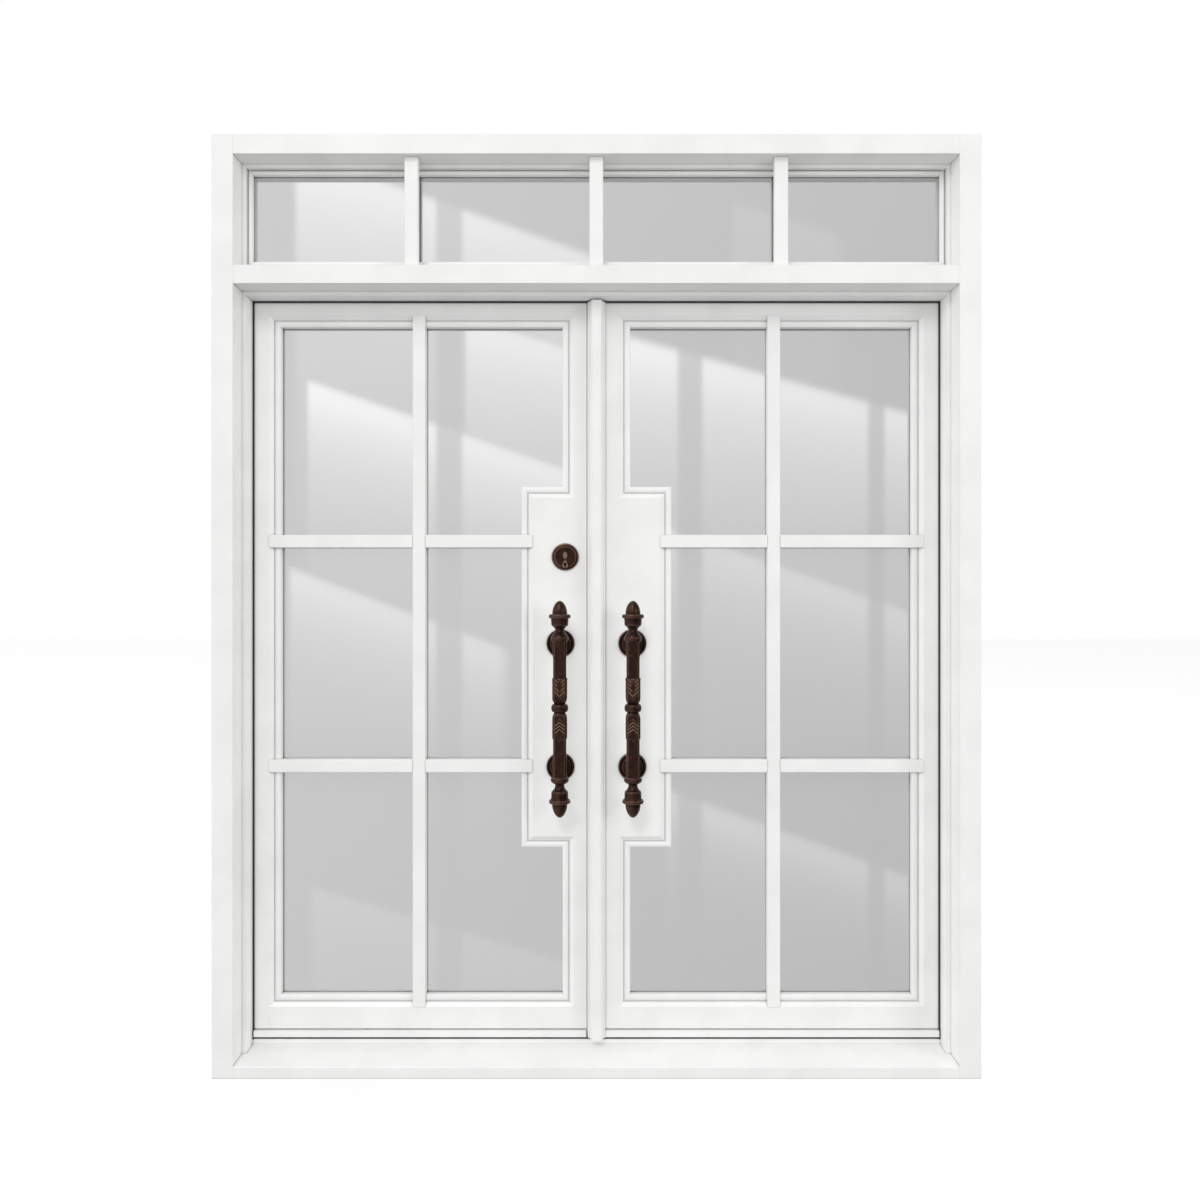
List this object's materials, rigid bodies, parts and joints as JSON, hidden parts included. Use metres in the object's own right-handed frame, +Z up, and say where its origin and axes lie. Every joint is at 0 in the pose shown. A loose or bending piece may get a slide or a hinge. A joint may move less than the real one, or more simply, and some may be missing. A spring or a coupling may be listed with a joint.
{
  "type": "french doors",
  "caption": "In-opening pair of glazed painted timber doors with pull handles, in its own frame under a fixed transom light.",
  "frame": {"origin": "centre of the sill's underside", "axes": "+X to the right seen from outside, +Y into the house, +Z up"},
  "size_m": [2.04, 0.2374, 2.504],
  "materials": {
    "painted_timber": "satin white alkyd paint, brushed",
    "laminated_glass": "clear laminated float glass",
    "dark_bronze": "cast bronze with a dark brown patina, rubbed at the edges",
    "steel": "zinc-plated steel",
    "black_rubber": "extruded black rubber",
    "pale_pile": "off-white woven pile"
  },
  "bodies": {
    "frame": {"sill": "painted_timber", "jamb_left": "painted_timber", "jamb_right": "painted_timber", "head": "painted_timber", "transom_bar": "painted_timber", "light_bar_1": "painted_timber", "light_bar_2": "painted_timber", "light_bar_3": "painted_timber", "transom_pane_1": "laminated_glass", "transom_pane_2": "laminated_glass", "transom_pane_3": "laminated_glass", "transom_pane_4": "laminated_glass", "transom_beads": "painted_timber", "weather_seal": "black_rubber", "frame_hinge_halves": "dark_bronze", "frame_hinge_screws": "dark_bronze", "bolt_keeps": "dark_bronze"},
    "left_leaf": {"left_hinge_stile": "painted_timber", "left_lock_stile": "painted_timber", "left_top_rail": "painted_timber", "left_bottom_rail": "painted_timber", "left_pane": "laminated_glass", "left_drip_bar": "painted_timber", "left_upright_bar": "painted_timber", "left_upper_bar": "painted_timber", "left_lower_bar": "painted_timber", "left_inner_bars": "painted_timber", "left_beads": "painted_timber", "left_hinge_halves": "dark_bronze", "left_hinge_screws": "dark_bronze", "left_outer_pull": "dark_bronze", "left_inner_pull": "dark_bronze", "left_pull_roses": "dark_bronze", "escutcheon": "dark_bronze", "turn_rose": "dark_bronze", "lock_case": "steel"},
    "right_leaf": {"right_hinge_stile": "painted_timber", "right_meeting_stile": "painted_timber", "right_top_rail": "painted_timber", "right_bottom_rail": "painted_timber", "right_pane": "laminated_glass", "right_drip_bar": "painted_timber", "right_upright_bar": "painted_timber", "right_upper_bar": "painted_timber", "right_lower_bar": "painted_timber", "right_inner_bars": "painted_timber", "right_beads": "painted_timber", "right_hinge_halves": "dark_bronze", "right_hinge_screws": "dark_bronze", "right_outer_pull": "dark_bronze", "right_inner_pull": "dark_bronze", "right_pull_roses": "dark_bronze", "astragal": "painted_timber", "strike_plate": "dark_bronze", "flush_bolt_plates": "dark_bronze", "meeting_seal": "pale_pile"},
    "turn": {"thumb_turn": "dark_bronze"},
    "bolt": {"deadbolt": "steel"},
    "top_rod": {"flush_bolt_top": "steel"},
    "bottom_rod": {"flush_bolt_bottom": "steel"}
  },
  "joints": [
    {"name": "left_leaf_swing", "type": "hinge", "parent": "frame", "child": "left_leaf", "pos_m": [-0.9515, 0.083, 1], "axis": [0, 0, 1], "range_deg": [0, 170]},
    {"name": "right_leaf_swing", "type": "hinge", "parent": "frame", "child": "right_leaf", "pos_m": [0.9515, 0.083, 1], "axis": [0, 0, -1], "range_deg": [0, 170]},
    {"name": "turn_rotate", "type": "hinge", "parent": "left_leaf", "child": "turn", "pos_m": [-0.0855, 0.076, 1.387], "axis": [0, 1, 0], "range_deg": [0, 90]},
    {"name": "bolt_slide", "type": "slide", "parent": "left_leaf", "child": "bolt", "axis": [1, 0, 0], "range_m": [0, 0.02]},
    {"name": "top_rod_slide", "type": "slide", "parent": "right_leaf", "child": "top_rod", "axis": [0, 0, 1], "range_m": [0, 0.018]},
    {"name": "bottom_rod_slide", "type": "slide", "parent": "right_leaf", "child": "bottom_rod", "axis": [0, 0, -1], "range_m": [0, 0.018]}
  ],
  "couplings": [
    {"joint": "turn_rotate", "follows": "bolt_slide", "rad_per_m": 78.539}
  ]
}
